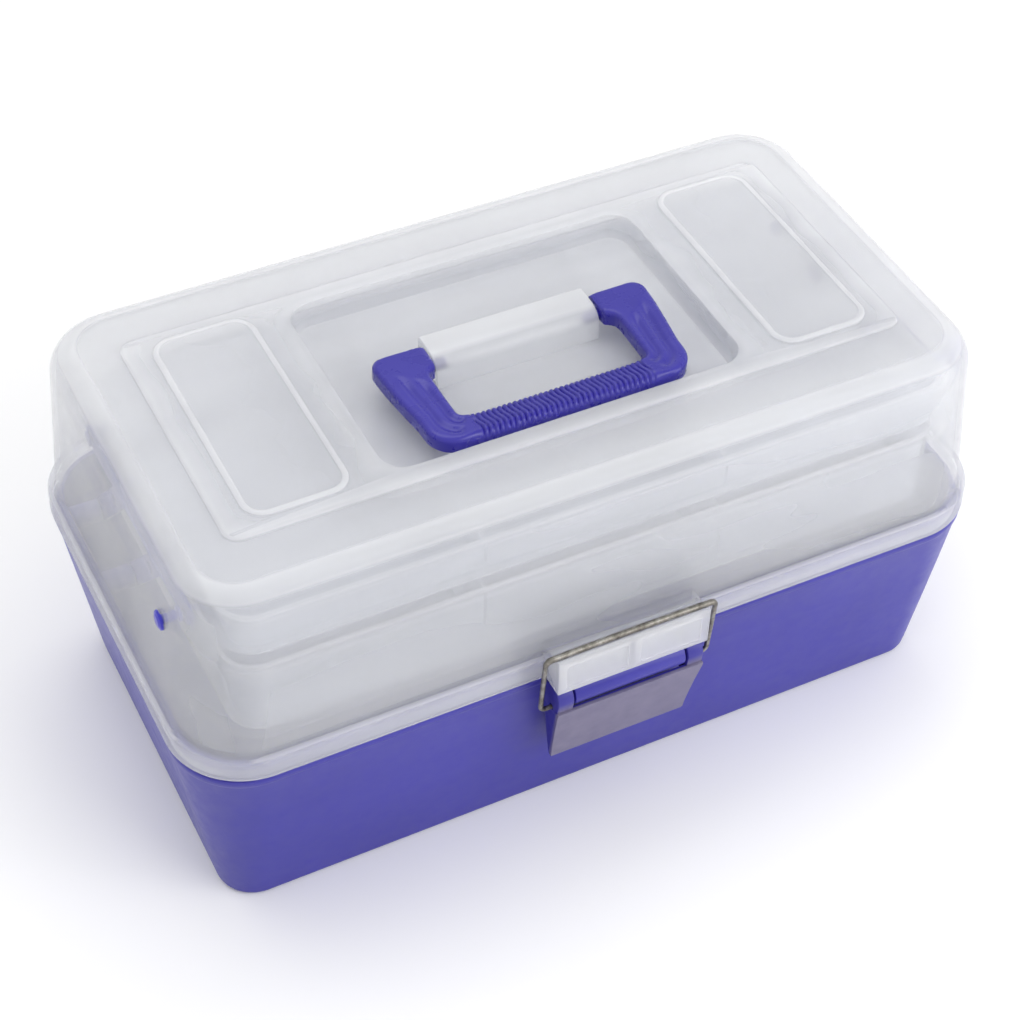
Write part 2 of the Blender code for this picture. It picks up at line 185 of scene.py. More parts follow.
def noise(tree, coords, scale, detail=4.0, roughness=0.55, stretch=(1, 1, 1)):
    mapping = tree.nodes.new("ShaderNodeMapping")
    mapping.inputs["Scale"].default_value = stretch
    tree.links.new(coords, mapping.inputs["Vector"])
    node = tree.nodes.new("ShaderNodeTexNoise")
    node.inputs["Scale"].default_value = scale
    node.inputs["Detail"].default_value = detail
    node.inputs["Roughness"].default_value = roughness
    tree.links.new(mapping.outputs["Vector"], node.inputs["Vector"])
    return node.outputs["Fac"]


def spread(tree, value, low, high, source=(0.3, 0.7)):
    """Maps a value's usual range to low..high."""
    node = tree.nodes.new("ShaderNodeMapRange")
    node.inputs["From Min"].default_value = source[0]
    node.inputs["From Max"].default_value = source[1]
    node.inputs["To Min"].default_value = low
    node.inputs["To Max"].default_value = high
    tree.links.new(value, node.inputs["Value"])
    return node.outputs["Result"]


def ramp(tree, value, stops):
    node = tree.nodes.new("ShaderNodeValToRGB")
    elements = node.color_ramp.elements
    while len(elements) < len(stops):
        elements.new(0.5)
    for element, (place, colour) in zip(elements, stops):
        element.position = place
        element.color = (*colour, 1.0)
    tree.links.new(value, node.inputs["Fac"])
    return node.outputs["Color"]


def add_bump(tree, shader, height, distance, strength):
    node = tree.nodes.new("ShaderNodeBump")
    node.inputs["Strength"].default_value = strength
    node.inputs["Distance"].default_value = distance
    tree.links.new(height, node.inputs["Height"])
    tree.links.new(node.outputs["Normal"], shader.inputs["Normal"])


def frosted_plastic(name, tint, veil, clear, rough):
    """Milky moulded polypropylene; its whitening mesh attribute marks beads and solid edges, and on the lid
    also a painted highlight on the shoulder and painted light on the recess floor.

    veil is the share of what lies behind one surface that it hides, and clear is the share of that
    which the light crosses scattered.
    """
    solid_veil = 0.85
    material, tree, shader, coords = new_material(name)
    thick_and_painted_light = tree.nodes.new("ShaderNodeAttribute")
    thick_and_painted_light.attribute_name = "thick_and_painted_light"
    cloud = noise(tree, coords, 14.0, 3.0)
    flow = noise(tree, coords, 30.0, 2.0, 0.5, (0.25, 1.0, 1.0))
    ripple = noise(tree, coords, 90.0, 3.0, 0.5)
    base = ramp(tree, cloud, ((0.30, tuple(c * 0.965 for c in tint)), (0.72, tint)))
    # whitens the colour by the attribute, which also holds the lid's painted highlight and painted light
    white = tree.nodes.new("ShaderNodeMix")
    white.data_type = "RGBA"
    white.inputs["B"].default_value = (0.93, 0.935, 0.95, 1.0)
    tree.links.new(thick_and_painted_light.outputs["Fac"], white.inputs["Factor"])
    tree.links.new(base, white.inputs["A"])
    tree.links.new(white.outputs["Result"], shader.inputs["Base Color"])
    tree.links.new(spread(tree, flow, clear - 0.03, clear + 0.03), shader.inputs["Transmission Weight"])
    more = tree.nodes.new("ShaderNodeMath")
    more.operation = "MULTIPLY_ADD"
    more.inputs[1].default_value = solid_veil - veil
    tree.links.new(thick_and_painted_light.outputs["Fac"], more.inputs[0])
    tree.links.new(spread(tree, flow, veil + 0.03, veil - 0.03), more.inputs[2])
    tree.links.new(more.outputs["Value"], shader.inputs["Alpha"])
    tree.links.new(spread(tree, cloud, rough - 0.03, rough + 0.04), shader.inputs["Roughness"])
    shader.inputs["IOR"].default_value = 1.36
    add_bump(tree, shader, ripple, 0.0004, 0.015)
    return material


# colours of the painted reflection of the pale floor on the latch lever's front face
PAINTED_REFLECTION_DARK, PAINTED_REFLECTION_LIGHT = (0.135, 0.120, 0.190), (0.190, 0.172, 0.245)


def violet_plastic(name, dark, light, rough):
    """Satin moulded plastic; a mesh attribute greys it with a painted reflection of the pale floor."""
    material, tree, shader, coords = new_material(name)
    cloud = noise(tree, coords, 18.0, 4.0)
    speck = noise(tree, coords, 160.0, 3.0, 0.6)
    grain = noise(tree, coords, 420.0, 2.0, 0.5)
    both = tree.nodes.new("ShaderNodeMix")
    both.data_type = "FLOAT"
    both.inputs["Factor"].default_value = 0.25
    tree.links.new(cloud, both.inputs["A"])
    tree.links.new(speck, both.inputs["B"])
    painted_floor_reflection = tree.nodes.new("ShaderNodeAttribute")
    painted_floor_reflection.attribute_name = "painted_floor_reflection"
    # mixes in a painted reflection of the pale floor where the attribute marks it
    painted_reflection_mix = tree.nodes.new("ShaderNodeMix")
    painted_reflection_mix.data_type = "RGBA"
    tree.links.new(painted_floor_reflection.outputs["Fac"], painted_reflection_mix.inputs["Factor"])
    tree.links.new(ramp(tree, both.outputs["Result"], ((0.35, dark), (0.65, light))), painted_reflection_mix.inputs["A"])
    tree.links.new(ramp(tree, speck, ((0.30, PAINTED_REFLECTION_DARK), (0.70, PAINTED_REFLECTION_LIGHT))), painted_reflection_mix.inputs["B"])
    tree.links.new(painted_reflection_mix.outputs["Result"], shader.inputs["Base Color"])
    tree.links.new(spread(tree, speck, rough - 0.05, rough + 0.06), shader.inputs["Roughness"])
    shader.inputs["IOR"].default_value = 1.49
    add_bump(tree, shader, grain, 0.0001, 0.04)
    return material


def steel(name):
    """Dull zinc-coated wire with brushed streaks and darker rubbed patches."""
    material, tree, shader, coords = new_material(name)
    wear = noise(tree, coords, 260.0, 5.0, 0.7)
    streak = noise(tree, coords, 900.0, 2.0, 0.5, (0.15, 1.0, 1.0))
    stops = ((0.32, (0.09, 0.08, 0.065)), (0.5, (0.24, 0.225, 0.20)), (0.7, (0.42, 0.41, 0.38)))
    tree.links.new(ramp(tree, wear, stops), shader.inputs["Base Color"])
    tree.links.new(spread(tree, wear, 0.50, 0.28), shader.inputs["Roughness"])
    shader.inputs["Metallic"].default_value = 0.9
    add_bump(tree, shader, streak, 0.0001, 0.4)
    return material


lid_plastic = frosted_plastic("lid_polypropylene", (0.86, 0.87, 0.905), 0.44, 0.45, 0.20)
tray_plastic = frosted_plastic("tray_polypropylene", (0.80, 0.83, 0.92), 0.44, 0.40, 0.20)
tub_plastic = violet_plastic("tub_violet", (0.026, 0.021, 0.275), (0.036, 0.030, 0.320), 0.36)
handle_plastic = violet_plastic("handle_violet", (0.022, 0.016, 0.260), (0.030, 0.023, 0.310), 0.28)
lever_plastic = violet_plastic("lever_violet", (0.024, 0.019, 0.230), (0.036, 0.030, 0.290), 0.42)
arm_plastic = violet_plastic("arm_violet", (0.030, 0.026, 0.290), (0.042, 0.036, 0.340), 0.40)
pin_plastic = violet_plastic("pin_violet", (0.020, 0.016, 0.400), (0.032, 0.028, 0.520), 0.30)
wire_steel = steel("wire_steel")


def set_material(obj, material):
    obj.data.materials.clear()
    obj.data.materials.append(material)


def mark(obj, attribute, weight):
    """Stores a value from 0 to 1 at each vertex, for a material to read."""
    layer = obj.data.attributes.new(attribute, "FLOAT", "POINT")
    for vertex, item in zip(obj.data.vertices, layer.data):
        item.value = weight(vertex.co)


def place(obj, body, slot, material, node):
    set_material(obj, material)
    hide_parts(node)
    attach(obj, body)


# ---- base tub ----
FOOT_HALF_X, FOOT_FILLET = 0.1501, 0.0026        # flat of the underside, and its rounded edge


def make_tub():
    """Tapered tub: underside, outer wall, ledge and rim, then down the inside to the floor."""
    sections = []
    for z, x in arc((FOOT_FILLET, FOOT_HALF_X), FOOT_FILLET, 180, 90, 6):
        sections.append((z, x, x - 0.0741, x - 0.1377))
    sections += [
        (0.0045, 0.1530, 0.0789, 0.0152),
        (0.0300, 0.1566, 0.0826, 0.0190),
        (0.0550, 0.1602, 0.0861, 0.0230),
        (0.0774, 0.1634, 0.0893, 0.0270),
        (0.0783, 0.1637, 0.0896, 0.0274),
        (0.0789, 0.1641, 0.0900, 0.0279),
        (0.0812, 0.1642, 0.0902, 0.0280),
        (0.0816, 0.1640, 0.0900, 0.0278),
        (0.0818, 0.1632, 0.0893, 0.0272),
        (0.0818, 0.1616, 0.0877, 0.0262),
        (0.0820, 0.1612, 0.0873, 0.0260),
        (0.0874, 0.1612, 0.0873, 0.0260),
        (0.0879, 0.1609, 0.0870, 0.0258),
        (0.0880, 0.1604, 0.0865, 0.0254),
        (0.0880, 0.1596, 0.0857, 0.0246),
        (0.0877, 0.1591, 0.0852, 0.0241),
        (0.0870, 0.1590, 0.0851, 0.0240),
        (0.0500, 0.1570, 0.0831, 0.0220),
        (0.0060, 0.1506, 0.0767, 0.0184),
        (0.0040, 0.1498, 0.0759, 0.0176),
        (0.0029, 0.1484, 0.0745, 0.0164),
        (0.0026, 0.1466, 0.0727, 0.0150),
    ]
    tub = box_stack("art_box_tub", sections)
    added = []
    cuts = []
    for side in (-1, 1):
        for top_y in (FRONT_ARM_Y, REAR_ARM_Y):
            axis = arm_point(top_y, 0.0)
            ends = ((side * 0.1474, 0.0040), (side * 0.1478, 0.0044), (side * 0.1602, 0.0044))
            added.append(turned_x(f"boss_{side}_{top_y}", axis, ends))
            cuts.append(bore(f"bore_{side}_{top_y}", axis, PIN_BORE, side * 0.1466, side * 0.1560))
        for offset in (-0.0102, 0.0102):
            centre = side * HINGE_X + offset
            outline = [(0.0860, 0.0770), (0.0960, 0.0790)]
            outline += arc(HINGE_AXIS, 0.0040, -60, 170, 18)
            outline += [(0.0945, 0.0815), (0.0860, 0.0815)]
            added.append(extrude_x(f"ear_{centre}", outline, centre - 0.0038, centre + 0.0038, 0.0004))
            cuts.append(bore(f"ear_bore_{centre}", HINGE_AXIS, HINGE_BORE, centre - 0.006, centre + 0.006))
    nose = [(-0.0868, 0.0690), (-0.0868, 0.0812)]
    nose += arc(LATCH_AXIS, 0.0053, 95, 250, 20)
    added.append(extrude_x("nose", nose, -0.0228, 0.0228, 0.0004))
    cuts.append(bore("nose_bore", LATCH_AXIS, LATCH_BORE, -0.0240, 0.0240))
    combine(tub, added, "UNION")
    combine(tub, cuts, "DIFFERENCE")
    place(smooth(tub), "base", "violet_plastic", tub_plastic, "base_tub")


# ---- lid ----
PANEL_CENTRE_X, PANEL_HALF_X, PANEL_HALF_Y, PANEL_CORNER = 0.104, 0.020, 0.050, 0.009
SHOULDER_HALF_X, SHOULDER_HALF_Y, SHOULDER_Z = 0.1577, 0.0838, 0.1506      # where its fillet starts
SHOULDER_FILLET = 0.0122
LID_WALL = 0.0022


def shoulder_ring(angle, inset=0.0):
    """Section of the rounded shoulder, inset from its outer face."""
    reach = SHOULDER_FILLET - inset
    away = SHOULDER_FILLET - reach * math.cos(math.radians(angle))
    height = SHOULDER_Z + reach * math.sin(math.radians(angle))
    return height, SHOULDER_HALF_X - away, SHOULDER_HALF_Y - away, max(0.026 - away, 0.011)


def raised_panel(side):
    """Low side panel with a rounded bead round its edge, dished inside the bead."""
    half_x, half_y = PANEL_HALF_X - PANEL_CORNER, PANEL_HALF_Y - PANEL_CORNER
    corners = ((half_x, half_y, 0), (-half_x, half_y, 90), (-half_x, -half_y, 180), (half_x, -half_y, 270))
    bead = ((0.1640, -0.0003), (0.1651, 0.0), (0.1658, 0.0003), (0.1662, 0.0009))
    bead += ((0.1663, 0.0016), (0.1661, 0.0023), (0.1656, 0.0028), (0.1655, 0.0036))
    loops = []
    for z, inset in bead:
        ring = []
        for x, y, start in corners:
            ring += arc((PANEL_CENTRE_X + x, y), PANEL_CORNER - inset, start, start + 90, 12)
        ring = [(side * x, y, z) for x, y in ring]
        loops.append(ring if side > 0 else list(reversed(ring)))
    return loft(f"panel_{side}", loops)


def lid_thickness_and_painted_light(co):
    """How solid the lid looks: beads, lip and catch are whiter than its thin walls; the shoulder ridge is
    whitened as a painted highlight, and the recess floor as painted light against its shade.
    """
    x, y, z = abs(co.x), co.y, co.z
    if z > 0.16575:
        return 0.7                               # bead round each side panel
    if z > 0.1636 and (abs(x - 0.1333) < 0.0022 or abs(abs(y) - 0.0553) < 0.0022):
        return 0.55                              # rim of the plateau
    if y < -0.0930:
        return 0.1 if -0.1013 < y < -0.1006 and 0.0845 < z < 0.0985 else 0.5     # catch, its windows
    if z < 0.0838 or (0.0922 < z < 0.0932 and (x > 0.1630 or abs(y) > 0.0892)):
        return 0.6                               # lower edge and upper lip of the skirt
    if x < 0.0345 and -0.0070 < y < 0.0130 and z > 0.1545:
        return 0.25                              # handle boss
    if x < 0.0730 and 0.1515 < z < 0.1560:
        return 0.35                              # floor of the handle recess, whitened as painted light against the shade there
    if 0.1588 < z < 0.1627 and (x > 0.1400 or abs(y) > 0.0620):
        return 0.60                              # ridge of the shoulder, whitened as a painted highlight
    if 0.1640 < z < 0.1650 and x < 0.0745:
        return 0.3                               # edge of the handle recess
    return 0.0


def make_lid():
    """One shell from inside the recess, down the cavity, round the skirt and up over the top."""
    inside = [
        (0.1518, 0.0722, 0.0486, 0.0095), (0.1519, 0.0730, 0.0494, 0.0100), (0.1524, 0.0733, 0.0497, 0.0104),
        (0.1598, 0.0734, 0.0498, 0.0105), (0.1604, 0.0737, 0.0501, 0.0108), (0.1606, 0.0745, 0.0509, 0.0114),
    ]
    inside += [shoulder_ring(angle, LID_WALL) for angle in range(90, -1, -10)]
    inside += [
        (0.0916, 0.1597, 0.0858, 0.0260), (0.0912, 0.1602, 0.0863, 0.0264), (0.0908, 0.1618, 0.0879, 0.0276),
        (0.0904, 0.1627, 0.0888, 0.0280), (0.0896, 0.1628, 0.0889, 0.0280), (0.0830, 0.1629, 0.0890, 0.0282),
        (0.0825, 0.1631, 0.0892, 0.0285),
    ]
    outside = [
        (0.0824, 0.1636, 0.0897, 0.0290), (0.0826, 0.1644, 0.0905, 0.0297), (0.0831, 0.1649, 0.0910, 0.0300),
        (0.0838, 0.1650, 0.0911, 0.0301), (0.0905, 0.1649, 0.0910, 0.0300), (0.0917, 0.1648, 0.0909, 0.0299),
        (0.0925, 0.1645, 0.0906, 0.0297), (0.0929, 0.1640, 0.0901, 0.0293), (0.0930, 0.1633, 0.0894, 0.0288),
        (0.0929, 0.1627, 0.0888, 0.0284), (0.0930, 0.1622, 0.0883, 0.0281), (0.0936, 0.1619, 0.0880, 0.0279),
        (0.0960, 0.1617, 0.0878, 0.0278),
    ]
    outside += [shoulder_ring(angle) for angle in range(0, 91, 8)]
    outside += [
        (0.1628, 0.1400, 0.0620, 0.0100), (0.1628, 0.1345, 0.0565, 0.0070), (0.1631, 0.1337, 0.0557, 0.0062),
        (0.1642, 0.1333, 0.0553, 0.0058), (0.1646, 0.1328, 0.0548, 0.0053), (0.1648, 0.1320, 0.0540, 0.0046),
        (0.1648, 0.0740, 0.0504, 0.0110), (0.1647, 0.0722, 0.0486, 0.0104), (0.1644, 0.0714, 0.0478, 0.0098),
        (0.1636, 0.0710, 0.0474, 0.0094), (0.1556, 0.0700, 0.0466, 0.0086), (0.1544, 0.0694, 0.0460, 0.0082),
        (0.1540, 0.0684, 0.0450, 0.0074),
    ]
    lid = box_stack("art_box_lid", inside + outside)
    added = []
    for side in (-1, 1):
        added.append(raised_panel(side))
        centre = side * HINGE_X
        knuckle = [(0.0898, 0.0836), (0.0938, 0.0836)]
        knuckle += arc(HINGE_AXIS, 0.0036, 200, 430, 20) + [(0.0898, 0.0900)]
        added.append(extrude_x(f"knuckle_{side}", knuckle, centre - 0.0060, centre + 0.0060, 0.0004))
    boss = [(-0.0056, 0.1530), (-0.0049, 0.1610), (-0.0045, 0.1626), (-0.0034, 0.1641), (-0.0016, 0.1654)]
    boss += [(0.0006, 0.1662), (0.0030, 0.1665)]
    boss += arc((0.0098, 0.1645), 0.0020, 90, 0, 6) + [(0.0122, 0.1530)]
    added.append(extrude_x("handle_boss", boss, -0.0334, 0.0334, 0.0009))
    catch = [(-0.0868, 0.0945), (-0.0868, 0.0978), (-0.0880, 0.0984), (-0.0905, 0.0990)]
    catch += [(-0.0992, 0.0990), (-0.0996, 0.0993), (-0.0996, 0.1000), (-0.0999, 0.1003)]
    catch += [(-0.1003, 0.1004), (-0.1009, 0.1004), (-0.1013, 0.1001), (-0.1015, 0.0996)]
    catch += [(-0.1015, 0.0840), (-0.1013, 0.0836), (-0.0905, 0.0836), (-0.0905, 0.0905)]
    added.append(extrude_x("catch", catch, -0.0310, 0.0310, 0.0005))
    combine(lid, added, "UNION")
    cuts = []
    for side in (-1, 1):
        cuts.append(bore(f"peg_bore_{side}", HANDLE_AXIS, PEG_BORE, side * 0.0270, side * 0.0350))
        cuts.append(bore(f"pin_bore_{side}", LID_PIN, PIN_BORE, side * 0.1500, side * 0.1640))
        centre = side * HINGE_X
        cuts.append(bore(f"hinge_bore_{side}", HINGE_AXIS, HINGE_BORE, centre - 0.008, centre + 0.008))
        near, far = 0.0009, 0.0292               # hollow on each side of the catch's centre rib
        middle, half = side * (near + far) / 2, (far - near) / 2
        outline = rounded_loop(half, 0.0039, 0.0008, 0.0, (middle, -0.0959))
        cuts.append(loft(f"pocket_{side}", [[(x, y, z) for x, y, _ in outline] for z in (0.0820, 0.0970)]))
        window = []
        for y, inset in ((-0.1030, -0.0004), (-0.1016, 0.0), (-0.1012, 0.0003), (-0.1010, 0.0009)):
            outline = rounded_loop(half - 0.0016 - inset, 0.0060 - inset, 0.0011, 0.0, (middle, 0.0916))
            window.append([(x, y, z) for x, z, _ in outline])
        cuts.append(loft(f"window_{side}", window))
    combine(lid, cuts, "DIFFERENCE")
    mark(lid, "thick_and_painted_light", lid_thickness_and_painted_light)
    place(smooth(lid), "lid", "clear_plastic", lid_plastic, "lid_shell")


# ---- trays ----
TRAY_HALF_X, TRAY_HALF_Y, TRAY_CENTRE_Y, TRAY_WALL = 0.1436, 0.0695, -0.0086, 0.0016
DIVIDER_X, DIVIDER_HALF = 0.048, 0.0006


def make_tray(node, low, high, divider_top, pivots):
    """Open tray with a rolled rim and two dividers; pivots are its pin holes as y, z."""
    name = f"art_box_{node}"
    half_x, half_y, wall = TRAY_HALF_X, TRAY_HALF_Y, TRAY_WALL
    sections = [
        (low, half_x - 0.0030, half_y - 0.0032, 0.0104),
        (low + 0.0002, half_x - 0.0020, half_y - 0.0022, 0.0112),
        (low + 0.0008, half_x - 0.0010, half_y - 0.0012, 0.0121),
        (low + 0.0020, half_x - 0.0006, half_y - 0.0009, 0.0124),
        (high - 0.0022, half_x - 0.0004, half_y - 0.0004, 0.0126),
        (high - 0.0016, half_x, half_y, 0.0130),
        (high - 0.0004, half_x, half_y, 0.0130),
        (high, half_x - 0.0004, half_y - 0.0004, 0.0126),
        (high, half_x - wall + 0.0004, half_y - wall + 0.0004, 0.0119),
        (high - 0.0004, half_x - wall, half_y - wall, 0.0115),
        (low + 0.0036, half_x - wall - 0.0006, half_y - wall - 0.0010, 0.0110),
        (low + 0.0022, half_x - wall - 0.0010, half_y - wall - 0.0014, 0.0106),
        (low + 0.0016, half_x - wall - 0.0022, half_y - wall - 0.0026, 0.0096),
    ]
    tray = box_stack(name, sections, (0.0, TRAY_CENTRE_Y))
    sunk = 0.0010                                # how far a divider runs into the walls and floor
    front, back = TRAY_CENTRE_Y - half_y + sunk, TRAY_CENTRE_Y + half_y - sunk
    outline = [(front, low + sunk), (back, low + sunk), (back, divider_top), (front, divider_top)]
    added = []
    for x in (-DIVIDER_X, DIVIDER_X):
        added.append(extrude_x(f"{name}_divider_{x}", outline, x - DIVIDER_HALF, x + DIVIDER_HALF))
    combine(tray, added, "UNION")
    cuts = []
    for side in (-1, 1):
        for axis in pivots:
            cuts.append(bore(f"{name}_bore_{side}_{axis[0]}", axis, PIN_BORE, side * 0.1376, side * 0.1466))
    combine(tray, cuts, "DIFFERENCE")

    def tray_thickness(co):
        if co.z > high - 0.0018:
            return 0.9                           # rim
        if co.z < low + 0.0012 or (co.z > divider_top - 0.0004 and abs(abs(co.x) - DIVIDER_X) < 0.001):
            return 0.6                           # floor edge and divider tops
        return 0.0

    mark(tray, "thick_and_painted_light", tray_thickness)
    place(smooth(tray), node, "clear_plastic", tray_plastic, node)


# ---- carry handle ----
LEG_STATIONS, GRIP_STATIONS, ACROSS_STATIONS = 68, 252, 34
HANDLE_ABOVE, HANDLE_BELOW = 0.0048, 0.0022      # its faces above and below the pivot axis
RIB_PITCH, RIB_HALF_RUN, RIB_DEPTH, RIB_WAVE = 0.00206, 0.0350, 0.00095, 0.40
FLUTE_DEPTH, FLUTE_WIDTH, FLUTE_LANES = 0.0011, 0.10, (0.27, 0.60)
FOOT_SWING = 0.0079                              # the feet clear the recess floor inside this radius


def resample(points, count):
    """Splits a path into count equal lengths."""
    lengths = [0.0]
    for a, b in zip(points, points[1:]):
        lengths.append(lengths[-1] + math.dist(a, b))
    result = []
    k = 0
    for i in range(count + 1):
        goal = lengths[-1] * i / count
        while k < len(points) - 2 and lengths[k + 1] < goal:
            k += 1
        t = (goal - lengths[k]) / max(lengths[k + 1] - lengths[k], 1e-9)
        a, b = points[k], points[k + 1]
        result.append((a[0] + (b[0] - a[0]) * t, a[1] + (b[1] - a[1]) * t))
    return result


def handle_rails():
    """Matching points of the U's inner and outer outlines, foot to foot, as (inner, outer)."""
    outer_leg = [(0.0342, 0.0064), (0.0420, 0.0066), (0.0502, 0.0066)]
    outer_leg += arc((0.0502, 0.0012), 0.0054, 80, 0, 8)
    outer_leg += [(0.0550, -0.0080), (0.0538, -0.0180), (0.0521, -0.0300)]
    outer_leg += arc((0.0411, -0.0346), 0.0108, -4, -90, 16)
    inner_leg = [(0.0342, -0.0050), (0.0346, -0.0062), (0.0362, -0.0072), (0.0376, -0.0085)]
    inner_leg += [(0.0382, -0.0105), (0.0382, -0.0190), (0.0380, -0.0285)]
    inner_leg += arc((0.0350, -0.0305), 0.0030, 0, -90, 8)
    outer = resample(outer_leg, LEG_STATIONS)
    inner = resample(inner_leg, LEG_STATIONS)
    right = list(zip(inner, outer))
    (in_x, in_y), (out_x, out_y) = inner[-1], outer[-1]
    grip = []
    for i in range(1, GRIP_STATIONS):
        t = 1 - 2 * i / GRIP_STATIONS
        grip.append(((in_x * t, in_y), (out_x * t, out_y)))
    left = [((-a[0], a[1]), (-b[0], b[1])) for a, b in reversed(right)]
    return right + grip + left


def clamp(value):
    return min(1.0, max(0.0, value))


def handle_relief(along, across, x, leg):
    """Height of the wavy ribs on the grip and of the two flutes on each leg."""
    if leg:
        lanes = sum(math.exp(-((across - lane) / FLUTE_WIDTH) ** 2) for lane in FLUTE_LANES)
        return -FLUTE_DEPTH * lanes * clamp((along - 0.34) / 0.12) * clamp((1.0 - along) / 0.05)
    reach = clamp((RIB_HALF_RUN - abs(x)) / 0.0008)
    phase = x / RIB_PITCH + RIB_WAVE * math.sin(2 * math.pi * across)
    return -RIB_DEPTH * (1 - abs(math.cos(math.pi * phase))) ** 1.3 * reach


def handle_ring(inner, outer, along, end_drop, leg):
    """Closed section of the handle between its two outlines, over the top and back underneath."""
    span = math.dist(inner, outer)
    edge = 0.0022
    if not leg:
        edge += 0.0012 * min(1.0, max(RIB_HALF_RUN - abs(inner[0]), 0.0) / 0.004)
    ring = []
    for face, reach, squash in ((1, HANDLE_ABOVE, 0.9), (-1, HANDLE_BELOW, 0.5)):
        for i in range(ACROSS_STATIONS + 1):
            share = 0.5 - 0.5 * face * math.cos(math.pi * i / ACROSS_STATIONS)
            near = min(share, 1 - share) * span
            drop = 0.0
            if i in (0, ACROSS_STATIONS):
                drop = edge
            elif near < edge:
                drop = edge - math.sqrt(edge ** 2 - (edge - near) ** 2)
            x = inner[0] + (outer[0] - inner[0]) * share
            y = inner[1] + (outer[1] - inner[1]) * share
            height = reach - drop * squash - end_drop
            if face > 0 or not leg:
                height += handle_relief(along, share, x, leg)
            behind = min(max(y - HANDLE_AXIS[0], 0.0), 0.0077)
            height = min(height, math.sqrt(FOOT_SWING ** 2 - behind ** 2))
            ring.append((x, y, HANDLE_AXIS[1] + face * height))
    return ring


def make_handle():
    rails = handle_rails()
    end_drops = (0.0007, 0.0003, 0.0001)         # rounds the inner end of each foot
    loops = []
    for index, (inner, outer) in enumerate(rails):
        step = min(index, len(rails) - 1 - index)
        end_drop = end_drops[step] if step < len(end_drops) else 0.0
        loops.append(handle_ring(inner, outer, step / LEG_STATIONS, end_drop, step <= LEG_STATIONS))
    handle = loft("art_box_handle", loops)
    bm = bmesh.new()
    bm.from_mesh(handle.data)
    bmesh.ops.remove_doubles(bm, verts=bm.verts, dist=1e-6)
    bmesh.ops.recalc_face_normals(bm, faces=bm.faces)
    bm.to_mesh(handle.data)
    bm.free()
    pegs = []
    for side in (-1, 1):
        stations = ((side * 0.0282, 0.0018), (side * 0.0286, 0.0022), (side * 0.0362, 0.0022))
        pegs.append(turned_x(f"peg_{side}", HANDLE_AXIS, stations))
    combine(handle, pegs, "UNION")
    smooth(handle, RIB_SHARP_ANGLE)
    place(handle, "carry_handle", "violet_plastic", handle_plastic, "carry_handle")


# ---- latch ----
def make_lever():
    """Flap with a full-width front face, two round ears, side walls and a lip curved outwards."""
    face = [(-0.1013, 0.0716), (-0.1012, 0.0706), (-0.0982, 0.0595), (-0.0960, 0.0500), (-0.0946, 0.0440)]
    face += [(-0.0940, 0.0408), (-0.0939, 0.0396), (-0.0935, 0.0389), (-0.0927, 0.0385), (-0.0918, 0.0387)]
    face += [(-0.0914, 0.0394), (-0.0919, 0.0420), (-0.0933, 0.0480), (-0.0959, 0.0590), (-0.0985, 0.0700)]
    face += [(-0.0989, 0.0714), (-0.0994, 0.0719), (-0.1006, 0.0719)]
    lever = extrude_x("art_box_latch_lever", face, -0.0304, 0.0304, 0.0005)
    ear = arc(LATCH_AXIS, 0.0057, 180, 0, 22)
    ear += [(-0.0899, 0.0730), (-0.0890, 0.0680), (-0.0998, 0.0680)]
    wall = [(-0.0890, 0.0684), (-0.0897, 0.0540), (-0.0905, 0.0402), (-0.0910, 0.0393), (-0.0930, 0.0391)]
    wall += [(-0.0940, 0.0500), (-0.0962, 0.0590), (-0.0988, 0.0684)]
    added = []
    for side in (-1, 1):
        ends = sorted((side * 0.0236, side * 0.0301))
        added.append(extrude_x(f"ear_{side}", ear, ends[0], ends[1], 0.0007))
        ends = sorted((side * 0.0284, side * 0.0300))
        added.append(extrude_x(f"wall_{side}", wall, ends[0], ends[1]))
    combine(lever, added, "UNION")
    cuts = []
    for side in (-1, 1):
        cuts.append(bore(f"lever_bore_{side}", LATCH_AXIS, LATCH_BORE, side * 0.0230, side * 0.0290))
        cuts.append(bore(f"wire_bore_{side}", BAIL_AXIS, WIRE_BORE, side * 0.0262, side * 0.0320))
    combine(lever, cuts, "DIFFERENCE")
    top_y, top_z, slope = -0.1013, 0.0716, 0.24

    # painted reflection of the pale floor: the lever's front face, tilted down towards the floor, is greyed
    def face_painted_reflection(co):
        on_face = co.z < top_z + 0.0005 and co.y < top_y + (top_z - co.z) * slope + 0.0011
        return 0.9 if on_face else 0.0

    mark(lever, "painted_floor_reflection", face_painted_reflection)
    for vertex in lever.data.vertices:           # narrows towards the lip
        vertex.co.x *= 1 - 0.075 * clamp((top_z - 0.0001 - vertex.co.z) / 0.033)
    place(smooth(lever), "latch_lever", "violet_plastic", lever_plastic, "latch_lever")


